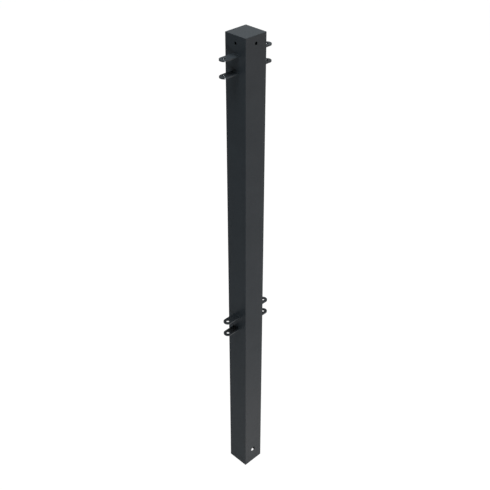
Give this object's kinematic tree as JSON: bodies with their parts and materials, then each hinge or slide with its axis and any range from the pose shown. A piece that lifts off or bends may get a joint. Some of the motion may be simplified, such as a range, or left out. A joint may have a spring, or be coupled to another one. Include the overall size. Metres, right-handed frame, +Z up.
{
  "type": "metal fence post",
  "caption": "Square hollow metal fence post with a flush cap, an open foot and pairs of round-ended lugs with bolt holes on two opposite faces, for holding fence rails.",
  "frame": {"origin": "middle of the post's open foot, at the tube's lower end", "axes": "+Z up along the post to its cap, +X and -X out along the lugs, +Y towards the back face"},
  "size_m": [0.17, 0.07, 1.45],
  "materials": {
    "post_coat": "satin",
    "cap_coat": "satin",
    "lug_coat": "satin",
    "weld_coat": "satin"
  },
  "bodies": {
    "root": {"post_tube": "post_coat", "top_cap": "cap_coat", "right_top_rail_upper_lug": "lug_coat", "right_top_rail_upper_weld": "weld_coat", "right_top_rail_lower_lug": "lug_coat", "right_top_rail_lower_weld": "weld_coat", "right_bottom_rail_upper_lug": "lug_coat", "right_bottom_rail_upper_weld": "weld_coat", "right_bottom_rail_lower_lug": "lug_coat", "right_bottom_rail_lower_weld": "weld_coat", "left_top_rail_upper_lug": "lug_coat", "left_top_rail_upper_weld": "weld_coat", "left_top_rail_lower_lug": "lug_coat", "left_top_rail_lower_weld": "weld_coat", "left_bottom_rail_upper_lug": "lug_coat", "left_bottom_rail_upper_weld": "weld_coat", "left_bottom_rail_lower_lug": "lug_coat", "left_bottom_rail_lower_weld": "weld_coat"}
  },
  "joints": []
}
